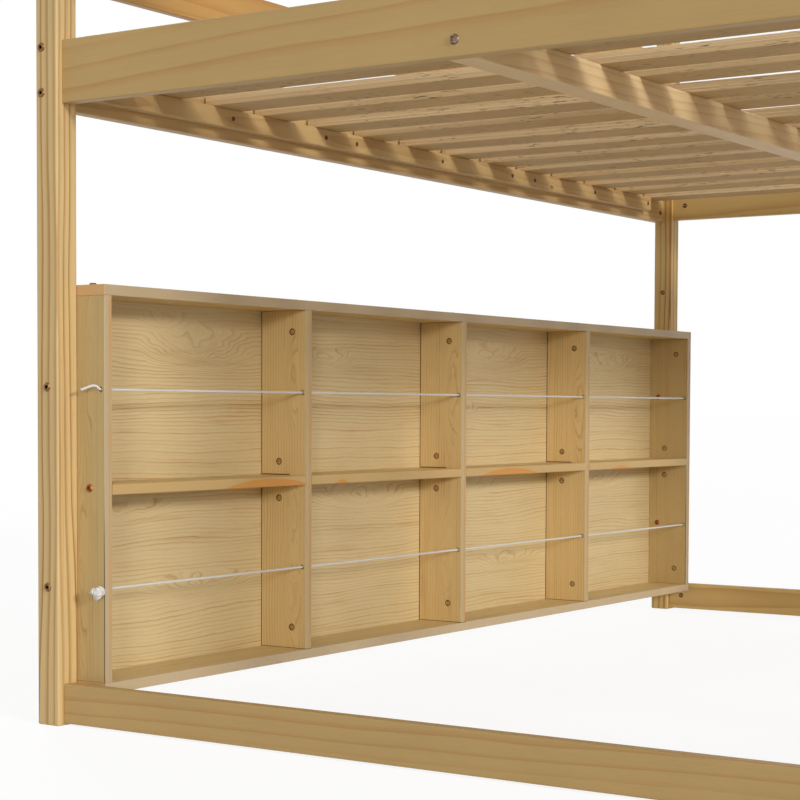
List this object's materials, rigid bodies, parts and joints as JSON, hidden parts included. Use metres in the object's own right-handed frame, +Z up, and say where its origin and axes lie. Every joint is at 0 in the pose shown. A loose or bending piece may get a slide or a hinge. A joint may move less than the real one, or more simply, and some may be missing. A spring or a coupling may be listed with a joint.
{
  "type": "loft bed with slide",
  "caption": "Half-high wooden loft bed with a slatted deck, guard boards, a low shelf with cords under one side, and a ladder and slide on the other.",
  "frame": {"origin": "on the floor, under the middle of the whole footprint of bed and slide", "axes": "+X across the bed from the shelf side to the slide side, the way the slide runs down; +Y along the bed from the near end, with the ladder, to the far end, with the slide; +Z up"},
  "size_m": [3.3328, 2.087, 1.345],
  "materials": {
    "post_pine": "oiled pine with brown grain lines, satin",
    "rail_pine": "oiled pine, satin",
    "slat_veneer": "laminated veneer, layered edges, dry",
    "shelf_board": "oiled pine board, upright grain",
    "shelf_back": "pale oiled board, level grain with fine waves",
    "guard_pine": "oiled pine, warm, satin",
    "ladder_pine": "oiled pine, satin",
    "slide_wood": "clear lacquered birch board, semi-gloss",
    "cord_cotton": "white twisted cord",
    "fastener_bronze": "dark bronze finish",
    "fastener_nickel": "bright nickel"
  },
  "bodies": {
    "root": {"post_shelf_near": "post_pine", "post_shelf_far": "post_pine", "post_slide_near": "post_pine", "post_slide_far": "post_pine", "rail_end_near": "rail_pine", "rail_end_far": "rail_pine", "rail_side_shelf": "rail_pine", "rail_side_slide": "rail_pine", "foot_rail_near": "rail_pine", "foot_rail_far": "rail_pine", "ledger_shelf": "rail_pine", "ledger_slide": "rail_pine", "centre_beam": "rail_pine", "slat_01": "slat_veneer", "slat_02": "slat_veneer", "slat_03": "slat_veneer", "slat_04": "slat_veneer", "slat_05": "slat_veneer", "slat_06": "slat_veneer", "slat_07": "slat_veneer", "slat_08": "slat_veneer", "slat_09": "slat_veneer", "slat_10": "slat_veneer", "slat_11": "slat_veneer", "slat_12": "slat_veneer", "slat_13": "slat_veneer", "slat_14": "slat_veneer", "shelf_bottom_board": "shelf_board", "shelf_middle_board": "shelf_board", "shelf_top_board": "shelf_board", "shelf_end_panel_near": "shelf_board", "shelf_end_panel_far": "shelf_board", "shelf_divider_1": "shelf_board", "shelf_divider_2": "shelf_board", "shelf_divider_3": "shelf_board", "shelf_back_lower": "shelf_back", "shelf_back_upper": "shelf_back", "cord_upper": "cord_cotton", "cord_lower": "cord_cotton", "guard_shelf_lower": "guard_pine", "guard_shelf_upper": "guard_pine", "guard_near_lower": "guard_pine", "guard_near_upper": "guard_pine", "guard_far_lower": "guard_pine", "guard_far_upper": "guard_pine", "guard_slide_lower": "guard_pine", "guard_slide_upper": "guard_pine", "guard_upright_ladder": "guard_pine", "guard_upright_slide": "guard_pine", "ladder_stringer_near": "ladder_pine", "ladder_stringer_far": "ladder_pine", "ladder_tread_1": "ladder_pine", "ladder_tread_2": "ladder_pine", "ladder_tread_3": "ladder_pine", "ladder_tread_4": "ladder_pine", "slide_bed": "slide_wood", "slide_side_near": "slide_wood", "slide_side_far": "slide_wood", "slide_top_cleat": "slide_wood", "slide_foot_bar": "slide_wood"}
  },
  "joints": []
}
